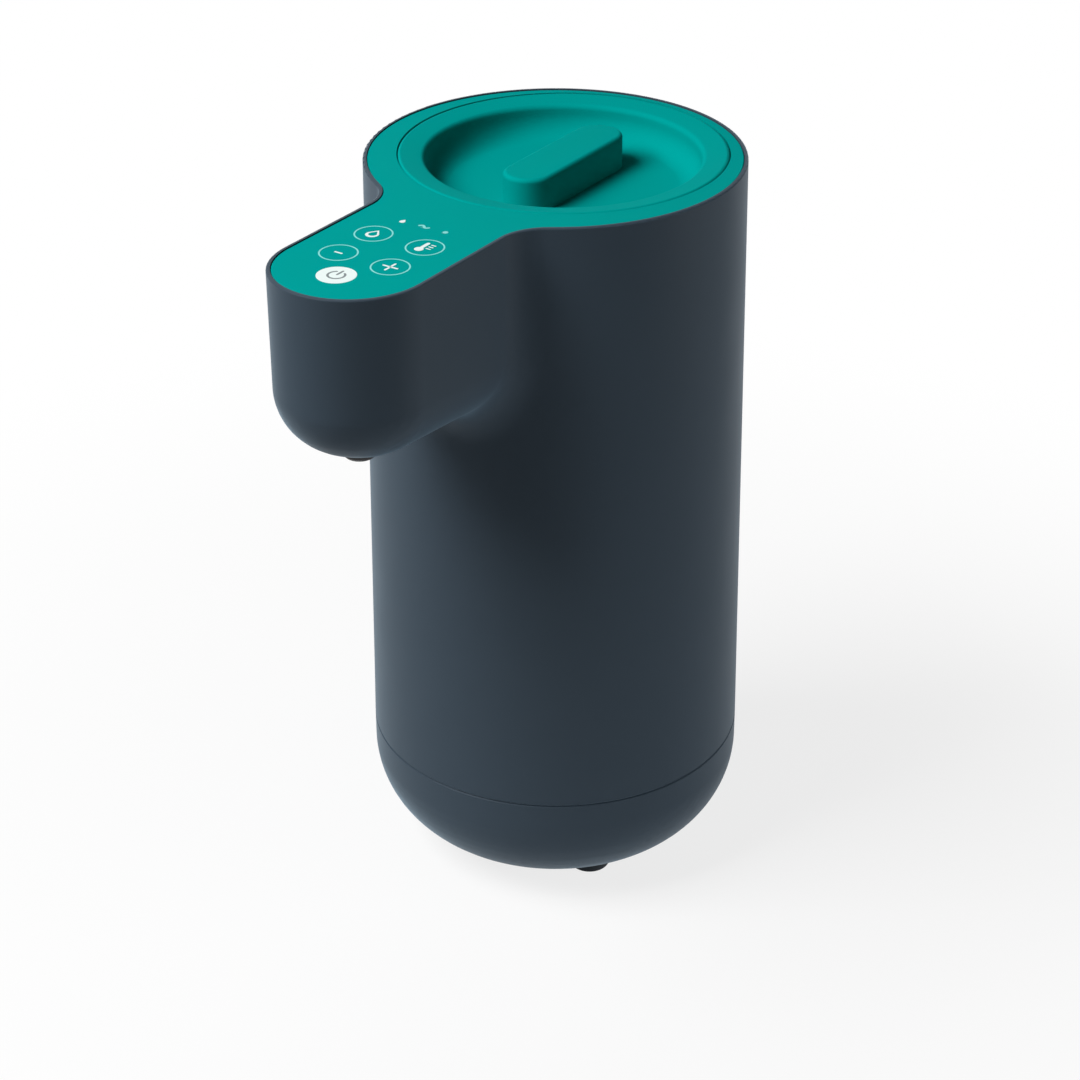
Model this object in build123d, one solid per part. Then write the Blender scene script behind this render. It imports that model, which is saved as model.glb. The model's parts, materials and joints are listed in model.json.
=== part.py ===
from build123d import *
import math
import os

# Baby formula water dispenser, in millimetres. Every piece is built about the axis of the round body,
# with the table at Z = 0 and the spout towards -Y. On export it is shifted so that the origin lies
# under the middle of the whole product.

# Housing
SEAM_RADIUS = 68.0  # round body at the seam above the base
BODY_TAPER = 3.0  # radius lost between the seam and the top rim
BODY_HEIGHT = 266.0  # underside of the base to the top rim
SEAM_HEIGHT = 45.5  # underside of the base to the seam
BASE_ROUND = 36.0  # round between the side and the flat underside of the base
WALL = 3.0  # moulded wall of the shell and the base
SEAM_CHAMFER = 0.5  # each side of the fine groove at the seam
SPIGOT_HEIGHT = 6.0  # lip of the base inside the shell, above and below the seam
SPIGOT_WALL = 2.5
SPIGOT_GAP = 0.2
SNAP_BEAD = 0.5  # bead on the lip of the base that snaps into a groove of the shell
SNAP_HEIGHT = 1.6
SNAP_PLACE = 3.0  # seam to the middle of the bead

# Spout head
HEAD_REACH = 139.0  # body axis to the front of the head
HEAD_HALF_WIDTH = 26.5
HEAD_HEIGHT = 61.4  # at the outlet
HEAD_TILT = 4.5  # underside of the head, falling towards the body
HEAD_ROUND = 21.0  # round along the lower edge of the head
NECK_RADIUS = 17.0  # hollow blend between the head and the round body
RIM_ROUND = 0.6  # round along the outer top edge of the shell

# Top deck
RIM_WIDTH = 1.3  # rim of the shell left round the deck
DECK_GAP = 0.15
DECK_DROP = 0.3  # deck and lid below the rim of the shell
DECK_BAND = 1.95  # narrowest part of the deck, behind the lid
DECK_THICKNESS = 3.0
DECK_ROUND = 0.4
LID_OFFSET = 5.0  # lid axis behind the body axis
NECK_WALL = 1.4
MOUTH_STEP = 0.1  # filling mouth, inside the shelf that carries the lid, past the wall of the tank
SHELF_THICKNESS = 3.0
NECK_DEPTH = 12.0  # top of the deck to the lower end of its neck
HOOK_ROW_SHARES = (0.31, 0.62)  # snap hooks under the deck, along both sides of the head
HOOK_ANGLE = 75.0  # hooks beside the lid, from the front
HOOK_WIDTH = 7.0
HOOK_THICKNESS = 1.4
HOOK_NOSE = 1.0
HOOK_LENGTH = 7.2
HOOK_GAP = 0.2
CATCH_DEPTH = 1.2  # catch inside the shell for each hook
CATCH_HEIGHT = 2.0
CATCH_DROP = 3.0  # underside of the deck to the top of a catch

# Lid
LID_GAP = 0.3
LID_FLANGE = 3.5
LID_EDGE_ROUND = 1.0
LID_CREST = 1.2  # level edge of the lid
LID_DISH = 1.3  # fall of the top of the lid from its crest to the bowl
LID_WALL = 2.5
CUP_GAP = 2.0  # outside of the bowl to the wall of the tank
BOWL_DEPTH = 12.3
BOWL_ROUND = 8.0  # between the wall and the floor of the bowl
BOWL_EDGE_ROUND = 2.0
BAR_WIDTH = 17.5
BAR_LENGTH = 59.5
BAR_DROP = 0.4  # top of the grip bar below the rim of the lid
BAR_ROUND = 1.5
BAR_RIB_PLACE = 14.0  # cross ribs in the hollow of the bar, from the lid axis
BAR_RIB_THICKNESS = 1.5
SEAT_GAP = 0.2
LUG_COUNT = 3
LUG_INSET = 1.3  # end of a lug inside the edge of the lid
LUG_THICKNESS = 2.5
LUG_GAP = 0.4
LUG_ANGLE = 20.0
LUG_SLOT_ANGLE = 26.0  # entry slot in the shelf for each lug
LUG_START_ANGLE = 30.0
POST_RADIUS = 5.0
POST_PLAY = 0.05
LINER_LEDGE = 2.0  # liner past its boss, above the gasket
LINER_THICKNESS = 1.5
LINER_BOSS_HEIGHT = 2.5
LINER_GAP = 0.5  # bowl underside to the liner
LINER_PLAY = 0.3  # liner to the head of its screw
GASKET_THICKNESS = 2.0
GASKET_WIDTH = 4.65
GASKET_GAP = 0.3  # gasket lip to the wall of the tank
GASKET_FIT = 0.05
LINER_SCREW_HEAD_RADIUS = 8.5
LINER_SCREW_HEAD_HEIGHT = 2.0
LINER_SCREW_RADIUS = 2.0
LINER_SCREW_LENGTH = 9.0

# Tank and its heater
TANK_ROOM = 4.7  # tank to the shell at the rear, where the body is narrowest
TANK_WALL = 0.8
PLANT_HEIGHT = 89.2  # room for the pump and the heater, underside of the base to the tank
TANK_ROUND = 7.0  # inside round at the floor
FLANGE_INSET = 0.5  # flange of the tank inside the neck of the deck
SEAL_THICKNESS = 2.0
SEAL_INSET = 1.0  # seal outside the wall of the tank
OUTLET_RADIUS = 5.0
OUTLET_BORE = 3.5
OUTLET_LENGTH = 17.0
HEATER_PLATE_GAP = 1.0  # plate inside the ring wall of the chassis
HEATER_PLATE_THICKNESS = 4.0
HEATER_PLATE_HOLE = 11.0
HEATER_RING_INSET = 5.5  # edge of the plate to the middle of the ring element
HEATER_RING_WIDTH = 8.0
HEATER_RING_HEIGHT = 6.0
HEATER_RING_ANGLE = 320.0
TERMINAL_RADIUS = 1.6
TERMINAL_LENGTH = 8.0
CUTOUT_GAP = 1.0  # heat cut-out inside the ring element
CUTOUT_RADIUS = 5.0
CUTOUT_HEIGHT = 9.0
SENSOR_RADIUS = 3.0
SENSOR_HEIGHT = 12.0

# Chassis that carries the tank
CHASSIS_GAP = 3.0  # chassis plate inside the shell
CHASSIS_THICKNESS = 3.0
CHASSIS_DROP = 29.0  # underside of the tank to the top of the chassis plate
CARRIER_INSET = 1.0  # ring wall under the tank, inside the round of its floor
CARRIER_WALL = 3.0
LEG_GAP = 1.5  # legs behind the pump
LEG_RADIUS = 4.0
LEG_COUNT = 4
HOSE_NOTCH_GAP = 1.5  # notch for the riser, behind it
HOSE_NOTCH_SIDE = 6.0  # notch for the riser, beside it
LEAD_SLOT_GAP = 1.6  # slot for each heater lead, all round it
CHASSIS_HOSE_GAP = 3.5

# Base
FOOT_HEIGHT = 3.0  # below the base
FOOT_RADIUS = 7.5
FOOT_SEAT_DEPTH = 2.5
FOOT_GAP = 0.1
FOOT_ROUND = 1.2
FOOT_SPREAD = 5.2  # middle of a foot outside the flat of the base
FOOT_ANGLE = 36.25  # from the X axis
FOOT_PAD_WALL = 2.0
BOSS_RADIUS = 5.5
BOSS_HEIGHT = 17.0  # underside of the base to the top of a boss
SCREW_RADIUS = 1.5
SCREW_HEAD_RADIUS = 3.0
SCREW_HEAD_HEIGHT = 2.4
SCREW_LENGTH = 22.0
SCREW_GAP = 0.1
THREAD_GAP = 0.05  # screw in the hole that it cuts its thread in
SCREW_SINK = 9.0  # depth of the screw holes in the underside

# Pump
PUMP_MOUNT_FLOOR = 2.0
PUMP_MOUNT_WALL = 2.5
PUMP_MOUNT_HEIGHT = 10.0
PUMP_MOUNT_GAP = 0.1
MOTOR_RADIUS = 14.0
MOTOR_LENGTH = 26.0
MOTOR_ROUND = 1.5
PUMP_RADIUS = 18.0
PUMP_WALL = 2.0
CHAMBER_HEIGHT = 8.0
PUMP_SPIGOT_LENGTH = 12.0
PUMP_OUTLET_X = 11.0
PUMP_OUTLET_END = 30.0  # in front of the tank axis
SHAFT_RADIUS = 1.25
SHAFT_PLAY = 0.05
SHAFT_DEPTH = 10.0  # inside the motor
IMPELLER_RADIUS = 14.5
IMPELLER_DISC = 1.5
IMPELLER_LIFT = 0.8  # above the chamber floor
VANE_COUNT = 6
VANE_HEIGHT = 4.5
VANE_THICKNESS = 1.4
VANE_SWEEP = 35.0  # tip of a vane behind its root
HUB_RADIUS = 3.5
HUB_GAP = 0.02

# Hoses and nozzle
INLET_HOSE_RADIUS = 7.0
HOSE_FIT = 0.05
HOSE_RADIUS = 5.0
HOSE_BORE = 3.2
SPIGOT_BORE = 2.2
RISER_GAP = 4.4  # riser to the inside of the shell, where the body is narrowest
HOSE_START = 4.0  # end of the riser from the wall of the pump
RISER_TURN_HEIGHT = 37.8  # above the underside of the tank, where the riser reaches the middle plane
RISER_LOWER_BEND = 14.0
RISER_MIDDLE_BEND = 60.0
RISER_UPPER_BEND = 17.0
RISER_SPOUT_BEND = 9.0
RISER_RISE = 17.0  # flange of the nozzle to the level run in the head
NOZZLE_RADIUS = 6.0
NOZZLE_BORE = 3.0
NOZZLE_TIP = 4.0  # below the head
NOZZLE_GAP = 0.15
NOZZLE_FLANGE_RADIUS = 9.0
NOZZLE_FLANGE = 2.0
NOZZLE_PAD_RADIUS = 11.0
NOZZLE_PAD_HEIGHT = 2.0  # above the inside of the head
NOZZLE_BARB_LENGTH = 6.0
NOZZLE_CHAMFER = 1.2

# Touch keys
KEY_ROW_SHARES = (0.785, 0.622, 0.413)  # power, minus and plus, upper pair, along the free deck of the head
KEY_SPREAD_SHARE = 0.377  # a paired key from the middle plane, of half the width of the head
LIGHT_ROW_SHARE = 0.263
LIGHT_SPREAD_SHARE = 0.306
LIGHT_RADIUS = 0.9
LIGHT_GAP = 0.05
LED_HALF_SIDE = 1.5
LED_HEIGHT = 1.2
PAD_RADIUS = 5.0
PAD_HEIGHT = 5.0
TOUCH_BOARD_GAP = 3.0  # each side of the board to the wall of the head
TOUCH_BOARD_REAR_SHARE = 0.186
BOARD_THICKNESS = 1.6
BOARD_POST_RADIUS = 2.8
BOARD_POST_INSET = 4.0  # from the side of the board
BOARD_POST_ROW_SHARES = (0.314, 0.715)
BOARD_SCREW_RADIUS = 1.0
BOARD_SCREW_HEAD_RADIUS = 2.0
BOARD_SCREW_HEAD_HEIGHT = 1.5
BOARD_SCREW_LENGTH = 5.0

# Power board and inlet
POWER_BOARD_ROOM = 3.0  # power board to the inner end of the inlet
POWER_BOARD_HALF_WIDTH = 28.0
POWER_BOARD_BOTTOM = 17.0  # above the underside of the base
POWER_BOARD_HEIGHT = 30.0
RAIL_X = 23.0
RAIL_WIDTH = 6.0
RAIL_DEPTH = 5.6
RAIL_HEIGHT = 20.0  # above the underside of the base
RAIL_GAP = 0.1
TRANSFORMER_SIZE = (16.0, 11.0, 16.0)
TRANSFORMER_X = 19.5
RELAY_SIZE = (12.0, 9.0, 14.0)
RELAY_X = -21.5
CAPACITOR_RADIUS = 4.5
CAPACITOR_LENGTH = 11.0
CAPACITOR_X = -10.0
COMPONENT_HEIGHT = 29.0  # middle of the components above the underside of the base
INLET_HALF_WIDTH = 10.0
INLET_HALF_HEIGHT = 6.5
INLET_HEIGHT = 31.0  # middle of the inlet above the underside of the base
INLET_GAP = 0.2
INLET_SINK = 3.5  # face of the inlet inside the widest part of the base
INLET_LENGTH = 14.0
SOCKET_HALF_WIDTH = 8.0
SOCKET_HALF_HEIGHT = 4.2
SOCKET_DEPTH = 11.0
PIN_RADIUS = 1.15
PIN_SPREAD = 4.3
PIN_LENGTH = 8.5
PIN_FIT = 0.02

# Wiring
LEAD_RADIUS = 1.1
LEAD_BEND = 4.0
PUMP_LEAD_X = 8.5
PUMP_LEAD_HEIGHT = 20.5  # above the underside of the base
PUMP_LEAD_GAP = 0.3
CABLE_RADIUS = 1.6
CABLE_X = 11.0
CABLE_SIDE_SHARES = (0.68, 0.10)  # level run beside and in front of the pump, of the radius at the seam
CABLE_FRONT_SHARES = (0.52, 0.52)
CABLE_HEIGHT = 52.5  # level run above the underside of the base
CABLE_TOP_DROP = 25.0  # top of the deck to the bend into the head
CABLE_END = 6.0  # in front of the rear edge of the touch board
CABLE_BENDS = (4.0, 12.0, 12.0, 8.0, 12.0, 6.0)

OVERRUN = 1.0  # cutters past the faces that they cut

# Places worked out from the sizes
BASE_Z = FOOT_HEIGHT
SEAM_Z = BASE_Z + SEAM_HEIGHT
TOP_Z = BASE_Z + BODY_HEIGHT
DECK_TOP_Z = TOP_Z - DECK_DROP
AXIS_Y = (HEAD_REACH - SEAM_RADIUS) / 2
TOP_RADIUS = SEAM_RADIUS - BODY_TAPER
HEAD_CENTRE = HEAD_REACH - HEAD_HALF_WIDTH
HEAD_FLOOR_Z = TOP_Z - HEAD_HEIGHT + WALL
NECK_BORE = TOP_RADIUS - RIM_WIDTH - DECK_GAP - DECK_BAND - LID_OFFSET
NECK_OUTER = NECK_BORE + NECK_WALL
NECK_BOTTOM_Z = DECK_TOP_Z - NECK_DEPTH
TANK_RADIUS = TOP_RADIUS - LID_OFFSET - WALL - TANK_ROOM - TANK_WALL
TANK_FLANGE_RADIUS = NECK_OUTER - FLANGE_INSET
LID_RADIUS = NECK_BORE - LID_GAP
LUG_RADIUS = LID_RADIUS - LUG_INSET
SHELF_RADIUS = TANK_RADIUS + MOUTH_STEP
BOWL_RADIUS = TANK_RADIUS - CUP_GAP - LID_WALL
LINER_BOSS_RADIUS = TANK_RADIUS - GASKET_GAP - GASKET_WIDTH - GASKET_FIT
LINER_RADIUS = LINER_BOSS_RADIUS + LINER_LEDGE
SHELF_TOP_Z = DECK_TOP_Z - LID_FLANGE - SEAT_GAP
SHELF_BOTTOM_Z = SHELF_TOP_Z - SHELF_THICKNESS
LUG_TOP_Z = SHELF_BOTTOM_Z - LUG_GAP
BOWL_FLOOR_Z = DECK_TOP_Z - BOWL_DEPTH
BAR_TOP_Z = DECK_TOP_Z - BAR_DROP
LID_UNDERSIDE_Z = BOWL_FLOOR_Z - LID_WALL
LINER_TOP_Z = LID_UNDERSIDE_Z - LINER_GAP
LINER_STEP_Z = LINER_TOP_Z - LINER_THICKNESS
LINER_BOTTOM_Z = LINER_STEP_Z - LINER_BOSS_HEIGHT
POST_END_Z = LINER_BOTTOM_Z - LINER_PLAY
TANK_RIM_Z = NECK_BOTTOM_Z - SEAL_THICKNESS
TANK_UNDERSIDE_Z = BASE_Z + PLANT_HEIGHT
TANK_FLOOR_Z = TANK_UNDERSIDE_Z + TANK_WALL
CARRIER_RADIUS = TANK_RADIUS - TANK_ROUND - CARRIER_INSET
HEATER_PLATE_RADIUS = CARRIER_RADIUS - CARRIER_WALL - HEATER_PLATE_GAP
HEATER_RING_RADIUS = HEATER_PLATE_RADIUS - HEATER_RING_INSET
CUTOUT_PLACE = HEATER_RING_RADIUS - HEATER_RING_WIDTH / 2 - CUTOUT_GAP - CUTOUT_RADIUS
HEATER_PLATE_Z = TANK_UNDERSIDE_Z - HEATER_PLATE_THICKNESS
HEATER_RING_Z = HEATER_PLATE_Z - HEATER_RING_HEIGHT
CHASSIS_TOP_Z = TANK_UNDERSIDE_Z - CHASSIS_DROP
CHASSIS_Z = CHASSIS_TOP_Z - CHASSIS_THICKNESS
CHASSIS_RADIUS = SEAM_RADIUS - WALL - CHASSIS_GAP
LEG_PLACE = LID_OFFSET + PUMP_RADIUS + LEG_GAP + LEG_RADIUS
BOSS_TOP_Z = BASE_Z + BOSS_HEIGHT
FOOT_SEAT_Z = BASE_Z + FOOT_SEAT_DEPTH
FOOT_REACH = SEAM_RADIUS - BASE_ROUND + FOOT_SPREAD
FOOT_X = FOOT_REACH * math.cos(math.radians(FOOT_ANGLE))
FOOT_Y = FOOT_REACH * math.sin(math.radians(FOOT_ANGLE))
PUMP_SEAT_Z = FOOT_SEAT_Z + WALL
PUMP_MOUNT_BORE = MOTOR_RADIUS + PUMP_MOUNT_GAP
PUMP_MOUNT_RADIUS = PUMP_MOUNT_BORE + PUMP_MOUNT_WALL
MOTOR_Z = PUMP_SEAT_Z + PUMP_MOUNT_FLOOR
PUMP_Z = MOTOR_Z + MOTOR_LENGTH
CHAMBER_Z = PUMP_Z + PUMP_WALL
COVER_Z = CHAMBER_Z + CHAMBER_HEIGHT
PUMP_TOP_Z = COVER_Z + PUMP_WALL
PUMP_OUTLET_Z = CHAMBER_Z + CHAMBER_HEIGHT / 2
RISER_PLACE = TOP_RADIUS - WALL - RISER_GAP - HOSE_RADIUS
NOZZLE_SEAT_Z = HEAD_FLOOR_Z + NOZZLE_PAD_HEIGHT
DECK_UNDERSIDE_Z = DECK_TOP_Z - DECK_THICKNESS
DECK_START = NECK_OUTER - LID_OFFSET
DECK_LENGTH = HEAD_REACH - DECK_START
KEY_ROWS = [DECK_START + DECK_LENGTH * row_share for row_share in KEY_ROW_SHARES]
KEY_SPREAD = HEAD_HALF_WIDTH * KEY_SPREAD_SHARE
LIGHT_ROW = DECK_START + DECK_LENGTH * LIGHT_ROW_SHARE
LIGHT_SPREAD = HEAD_HALF_WIDTH * LIGHT_SPREAD_SHARE
TOUCH_BOARD_HALF_WIDTH = HEAD_HALF_WIDTH - WALL - TOUCH_BOARD_GAP
TOUCH_BOARD_REAR = DECK_START + DECK_LENGTH * TOUCH_BOARD_REAR_SHARE
HOOK_ROWS = [DECK_START + DECK_LENGTH * row_share for row_share in HOOK_ROW_SHARES]
BOARD_POST_X = TOUCH_BOARD_HALF_WIDTH - BOARD_POST_INSET
BOARD_POST_ROWS = [DECK_START + DECK_LENGTH * row_share for row_share in BOARD_POST_ROW_SHARES]
TOUCH_BOARD_TOP_Z = DECK_UNDERSIDE_Z - PAD_HEIGHT
TOUCH_BOARD_Z = TOUCH_BOARD_TOP_Z - BOARD_THICKNESS
POWER_BOARD_Z = BASE_Z + POWER_BOARD_BOTTOM
POWER_BOARD_TOP_Z = POWER_BOARD_Z + POWER_BOARD_HEIGHT
INLET_Z = BASE_Z + INLET_HEIGHT
INLET_FACE_Y = SEAM_RADIUS - INLET_SINK
INLET_END_Y = INLET_FACE_Y - INLET_LENGTH
POWER_BOARD_PLACE = INLET_END_Y - POWER_BOARD_ROOM - BOARD_THICKNESS
COMPONENT_Z = BASE_Z + COMPONENT_HEIGHT
STAND = (Align.CENTER, Align.CENTER, Align.MIN)
LID_AXIS = Pos(0, LID_OFFSET, 0)


def tube(outer, inner, bottom, top):
    """Upright round tube, or a plain cylinder where inner is 0."""
    body = Cylinder(outer, top - bottom, align=STAND)
    if inner > 0:
        body -= Cylinder(inner, top - bottom, align=STAND)
    return Pos(0, 0, bottom) * body


def block(x_span, y_span, z_span):
    """Box between two ends along each axis."""
    sizes = [span[1] - span[0] for span in (x_span, y_span, z_span)]
    return Pos(x_span[0], y_span[0], z_span[0]) * Box(*sizes, align=Align.MIN)


def sector(inner, outer, bottom, top, middle_angle, angle):
    """Part of a ring, centred on an angle from +X."""
    section = Pos((inner + outer) / 2, (bottom + top) / 2) * Rectangle(outer - inner, top - bottom)
    return Rot(0, 0, middle_angle - angle / 2) * revolve(Plane.XZ * section, Axis.Z, angle)


def around(count, start=0):
    """Even turns about the Z axis."""
    return [Rot(0, 0, start + 360 * i / count) for i in range(count)]


def mirrored(xs, ys):
    """Every place at plus and minus the given distances."""
    return [(sx * x, sy * y) for x in xs for y in ys for sx in (1, -1) for sy in (1, -1)]


def pipe(points, bends, radius, bore=0):
    """Round pipe along straight runs joined by tangent arcs."""
    path = FilletPolyline(*points, radius=list(bends))
    section = Circle(radius)
    if bore > 0:
        section -= Circle(bore)
    return sweep(Plane(origin=path @ 0, z_dir=path % 0) * section, path)


def tapered_body(inset):
    """The round body above the seam, narrowing upwards."""
    profile = Polyline(
        (0, SEAM_Z), (SEAM_RADIUS - inset, SEAM_Z), (TOP_RADIUS - inset, TOP_Z), (0, TOP_Z), close=True
    )
    return revolve(make_face(Plane.XZ * profile), Axis.Z)


def head_outline(half_width):
    """The head seen from above: straight sides and a round front."""
    straight = Pos(0, -HEAD_CENTRE / 2) * Rectangle(2 * half_width, HEAD_CENTRE)
    return straight + Pos(0, -HEAD_CENTRE) * Circle(half_width)


def head_pod(inset):
    """The head, with its lower edge well rounded."""
    tilt = math.radians(HEAD_TILT)
    upwards = (0, math.sin(tilt), math.cos(tilt))
    underside = Plane(origin=(0, -HEAD_CENTRE, TOP_Z - HEAD_HEIGHT), z_dir=upwards).offset(inset)
    prism = extrude(Pos(0, 0, TOP_Z) * head_outline(HEAD_HALF_WIDTH - inset), -2 * HEAD_HEIGHT)
    pod = split(prism, underside, keep=Keep.TOP)
    lower_edges = pod.faces().sort_by(Axis.Z)[0].edges().sort_by(Axis.Y)[:-1]
    return fillet(lower_edges, HEAD_ROUND - inset)


def housing_form(inset):
    """The form of the shell: the round body flowing into the head, drawn in by a wall on the inside."""
    body = tapered_body(inset)
    pod = head_pod(inset)
    whole = body + pod
    return fillet(new_edges(body, pod, combined=whole), NECK_RADIUS + inset)


def deck_outline(inset):
    """Keyhole outline of the top, drawn in from the outer edge."""
    keyhole = Circle(TOP_RADIUS) + head_outline(HEAD_HALF_WIDTH)
    necks = keyhole.vertices().group_by(Axis.Y)[1]
    return offset(fillet(necks, NECK_RADIUS), amount=-inset)


def base_form(inset):
    """The rounded cup below the seam."""
    side = SEAM_RADIUS - inset
    bottom = BASE_Z + inset
    corner = BASE_ROUND - inset
    middle_share = math.sqrt(0.5)
    round_start = (side - corner, bottom)
    round_middle = (side - corner + corner * middle_share, bottom + corner - corner * middle_share)
    round_end = (side, bottom + corner)
    outline = [
        Line((0, bottom), round_start),
        ThreePointArc(round_start, round_middle, round_end),
        Line(round_end, (side, SEAM_Z)),
        Line((side, SEAM_Z), (0, SEAM_Z)),
        Line((0, SEAM_Z), (0, bottom)),
    ]
    return revolve(make_face(Plane.XZ * Curve(outline)), Axis.Z)


def nozzle_pad():
    """Level seat for the nozzle on the rounded floor of the head."""
    return tube(NOZZLE_PAD_RADIUS, 0, TOP_Z - HEAD_HEIGHT, NOZZLE_SEAT_Z)


def body_shell():
    outer = housing_form(0)
    rim = outer.faces().sort_by(Axis.Z)[-1].edges()
    outer = fillet(rim, RIM_ROUND)
    foot_edge = outer.edges().group_by(Axis.Z)[0]
    outer = chamfer(foot_edge, SEAM_CHAMFER)
    shell = outer - housing_form(WALL)
    shell -= extrude(Pos(0, 0, TOP_Z) * deck_outline(RIM_WIDTH), DECK_UNDERSIDE_Z - TOP_Z)
    shell -= LID_AXIS * tube(NECK_OUTER + DECK_GAP, 0, TANK_RIM_Z - TANK_WALL - OVERRUN, TOP_Z)
    spout = Pos(0, -HEAD_CENTRE, 0)
    shell += spout * nozzle_pad() & outer
    catch_z = DECK_UNDERSIDE_Z - CATCH_DROP
    root = WALL / 2
    for catch in hook_ring(-root, CATCH_DEPTH + root, catch_z - CATCH_HEIGHT, catch_z):
        shell += catch
    snap_z = SEAM_Z + SNAP_PLACE
    groove = SEAM_RADIUS - WALL + SNAP_BEAD
    groove_half = SNAP_HEIGHT / 2 + SPIGOT_GAP
    shell -= tube(groove, 0, snap_z - groove_half, snap_z + groove_half)
    hole = tube(NOZZLE_RADIUS + NOZZLE_GAP, 0, TOP_Z - HEAD_HEIGHT - OVERRUN, NOZZLE_SEAT_Z + OVERRUN)
    return shell - spout * hole


def base_cover():
    outer = base_form(0)
    seam_edge = outer.edges().group_by(Axis.Z)[-1]
    outer = chamfer(seam_edge, SEAM_CHAMFER)
    cover = outer - base_form(WALL)
    lip = SEAM_RADIUS - WALL
    lip_bore = lip - SPIGOT_GAP - SPIGOT_WALL
    cover += tube(lip, lip_bore, SEAM_Z - SPIGOT_HEIGHT, SEAM_Z)
    cover += tube(lip - SPIGOT_GAP, lip_bore, SEAM_Z, SEAM_Z + SPIGOT_HEIGHT)
    snap_z = SEAM_Z + SNAP_PLACE
    snap_radius = lip - SPIGOT_GAP + SNAP_BEAD
    cover += tube(snap_radius, lip_bore, snap_z - SNAP_HEIGHT / 2, snap_z + SNAP_HEIGHT / 2)
    inserts = []
    for x, y in mirrored([FOOT_X], [FOOT_Y]):
        inserts.append(Pos(x, y, 0) * tube(FOOT_RADIUS + FOOT_PAD_WALL, 0, BASE_Z, FOOT_SEAT_Z + WALL))
    for turn in around(LEG_COUNT):
        inserts.append(turn * Pos(LEG_PLACE, 0, 0) * tube(BOSS_RADIUS, 0, BASE_Z, BOSS_TOP_Z))
    inserts.append(LID_AXIS * tube(PUMP_MOUNT_RADIUS, 0, BASE_Z, PUMP_SEAT_Z))
    rail_middle = POWER_BOARD_PLACE + BOARD_THICKNESS / 2
    for x in (-RAIL_X, RAIL_X):
        inserts.append(block(
            (x - RAIL_WIDTH / 2, x + RAIL_WIDTH / 2),
            (rail_middle - RAIL_DEPTH / 2, rail_middle + RAIL_DEPTH / 2),
            (BASE_Z, BASE_Z + RAIL_HEIGHT),
        ))
    for insert in inserts:
        cover += insert & outer
    for x, y in mirrored([FOOT_X], [FOOT_Y]):
        cover -= Pos(x, y, 0) * tube(FOOT_RADIUS + FOOT_GAP, 0, 0, FOOT_SEAT_Z)
    for turn in around(LEG_COUNT):
        sink = tube(SCREW_HEAD_RADIUS + SCREW_GAP, 0, 0, BASE_Z + SCREW_SINK)
        hole = tube(SCREW_RADIUS + SCREW_GAP, 0, 0, BOSS_TOP_Z)
        cover -= turn * Pos(LEG_PLACE, 0, 0) * (sink + hole)
    cover -= block(
        (-POWER_BOARD_HALF_WIDTH - RAIL_GAP, POWER_BOARD_HALF_WIDTH + RAIL_GAP),
        (POWER_BOARD_PLACE - RAIL_GAP, POWER_BOARD_PLACE + BOARD_THICKNESS + RAIL_GAP),
        (POWER_BOARD_Z, SEAM_Z - SPIGOT_HEIGHT),
    )
    return cover - inlet_body(INLET_GAP, SEAM_RADIUS)


def foot_set():
    foot = tube(FOOT_RADIUS, 0, 0, FOOT_SEAT_Z)
    foot = fillet(foot.edges().group_by(Axis.Z)[0], FOOT_ROUND)
    return [Pos(x, y, 0) * foot for x, y in mirrored([FOOT_X], [FOOT_Y])]


def base_screws():
    head_z = BASE_Z + SCREW_SINK - SCREW_HEAD_HEIGHT
    screw = tube(SCREW_HEAD_RADIUS, 0, head_z, BASE_Z + SCREW_SINK)
    screw += tube(SCREW_RADIUS, 0, BASE_Z + SCREW_SINK, BASE_Z + SCREW_SINK + SCREW_LENGTH)
    return [turn * Pos(LEG_PLACE, 0, 0) * screw for turn in around(LEG_COUNT)]


def chassis():
    plate = tube(CHASSIS_RADIUS, 0, CHASSIS_Z, CHASSIS_TOP_Z)
    notch_y = HOSE_RADIUS + HOSE_NOTCH_GAP - RISER_PLACE
    z_span = (CHASSIS_Z - OVERRUN, CHASSIS_TOP_Z + OVERRUN)
    notch_side = PUMP_OUTLET_X + HOSE_RADIUS + HOSE_NOTCH_SIDE
    plate -= block((-notch_side, notch_side), (-CHASSIS_RADIUS - OVERRUN, notch_y), z_span)
    slot_room = LEAD_RADIUS + LEAD_SLOT_GAP
    for x, y in terminal_places():
        slot_ends = sorted((y, POWER_BOARD_PLACE + BOARD_THICKNESS / 2))
        slot_y = (slot_ends[0] - slot_room, slot_ends[1] + slot_room)
        plate -= block((x - slot_room, x + slot_room), slot_y, z_span)
    plate -= LID_AXIS * tube(INLET_HOSE_RADIUS + CHASSIS_HOSE_GAP, 0, *z_span)
    carrier = tube(CARRIER_RADIUS, CARRIER_RADIUS - CARRIER_WALL, CHASSIS_TOP_Z, TANK_UNDERSIDE_Z)
    frame = plate + LID_AXIS * carrier
    bore_top_z = BASE_Z + SCREW_SINK + SCREW_LENGTH + OVERRUN
    leg = tube(LEG_RADIUS, 0, BOSS_TOP_Z, CHASSIS_Z)
    leg -= tube(SCREW_RADIUS + THREAD_GAP, 0, BOSS_TOP_Z, bore_top_z)
    for turn in around(LEG_COUNT):
        frame += turn * Pos(LEG_PLACE, 0, 0) * leg
    return frame


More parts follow.
